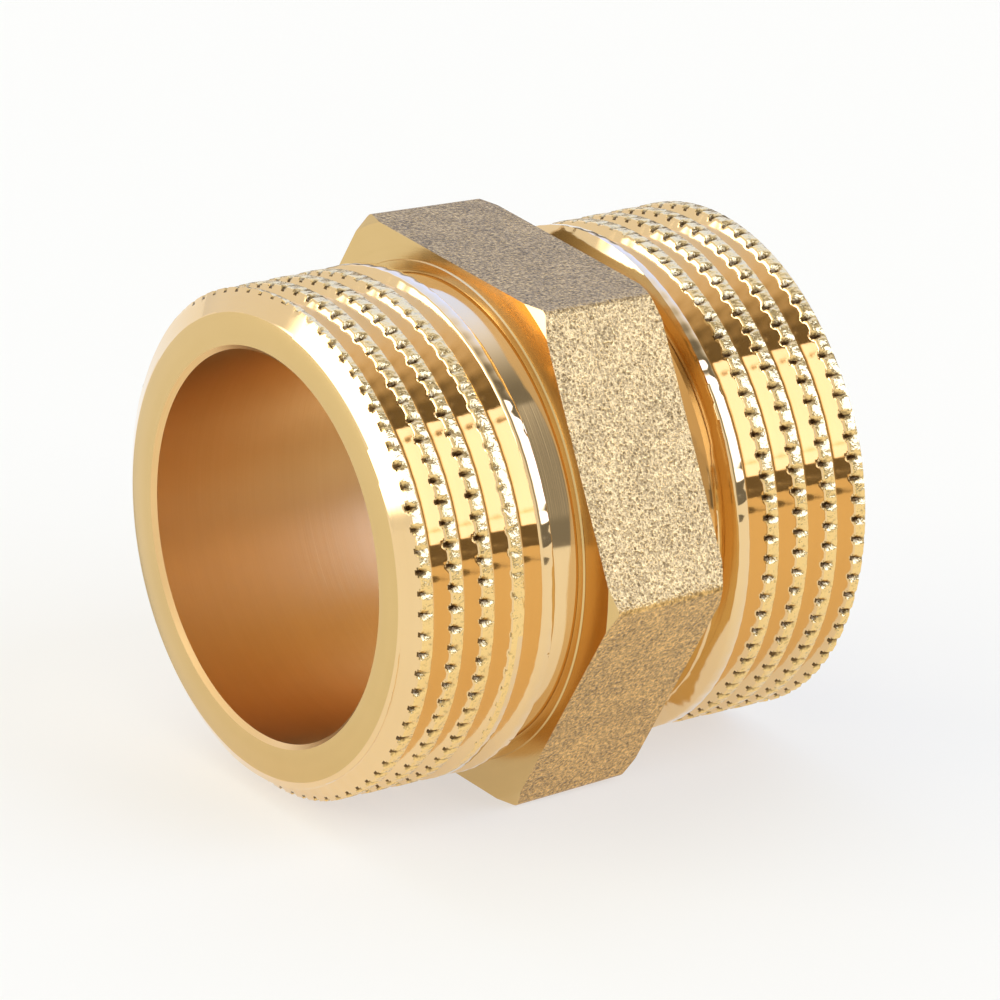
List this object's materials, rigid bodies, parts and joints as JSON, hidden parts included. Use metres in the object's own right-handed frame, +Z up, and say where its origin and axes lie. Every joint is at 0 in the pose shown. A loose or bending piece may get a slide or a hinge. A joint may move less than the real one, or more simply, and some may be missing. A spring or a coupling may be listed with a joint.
{
  "type": "hex nipple",
  "caption": "Brass pipe nipple with a central wrench hexagon, a male parallel pipe thread on each end and a bore straight through.",
  "frame": {"origin": "on the bore's axis, half way between the two end faces", "axes": "+X along the bore towards the rear end, +Z up with the nipple lying on one flat of its hexagon, +Y across two corners of the hexagon"},
  "size_m": [0.036, 0.0392, 0.034],
  "materials": {
    "brass_forged": "grit-blasted forging, matt and slightly sparkling",
    "brass_machined": "bright turned brass with fine tool lines"
  },
  "bodies": {
    "root": {"hex_body": "brass_forged", "front_threaded_end": "brass_machined", "rear_threaded_end": "brass_machined"}
  },
  "joints": []
}
